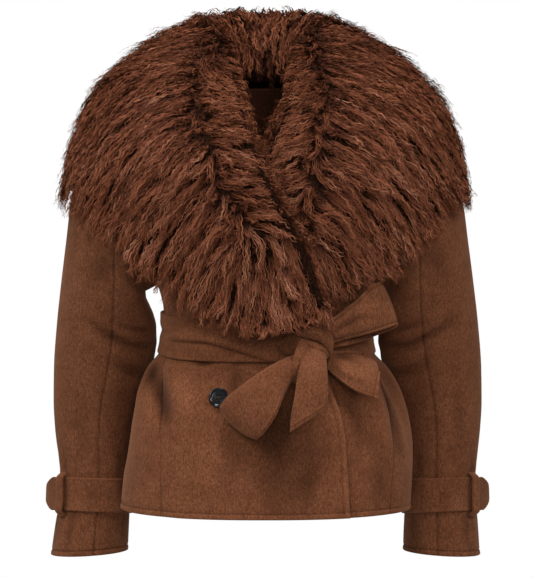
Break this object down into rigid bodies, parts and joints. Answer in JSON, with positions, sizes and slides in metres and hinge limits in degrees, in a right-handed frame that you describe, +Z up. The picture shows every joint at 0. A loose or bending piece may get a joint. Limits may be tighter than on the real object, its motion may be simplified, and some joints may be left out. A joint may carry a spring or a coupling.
{
  "type": "cropped wool coat",
  "caption": "Cropped double-breasted wool coat with a wide curly fur shawl collar, tie belt in a bow and strapped cuffs, worn and hollow.",
  "frame": {"origin": "middle of the neck base, level with the highest points of the shoulders, where the wearer's shoulders hold the coat", "axes": "+Z up, -Y out of the coat's front, +X to the wearer's left"},
  "size_m": [0.6331, 0.3358, 0.777],
  "materials": {
    "wool": "brown double-faced wool with a short soft nap",
    "fur": "long curly brown fur with a soft sheen",
    "button": "glossy black"
  },
  "bodies": {
    "root": {"front_right": "wool", "front_left": "wool", "side_right": "wool", "side_left": "wool", "back": "wool", "sleeve_upper_right": "wool", "sleeve_under_right": "wool", "sleeve_upper_left": "wool", "sleeve_under_left": "wool", "fur_collar_right": "fur", "fur_collar_left": "fur", "fur_collar_back": "fur", "belt_band": "wool", "belt_knot": "wool", "bow_loop_upper": "wool", "bow_loop_lower": "wool", "belt_tail_centre": "wool", "belt_tail_side": "wool", "cuff_strap_right": "wool", "cuff_strap_left": "wool", "cuff_keeper_right": "wool", "cuff_keeper_left": "wool", "button": "button"}
  },
  "joints": []
}
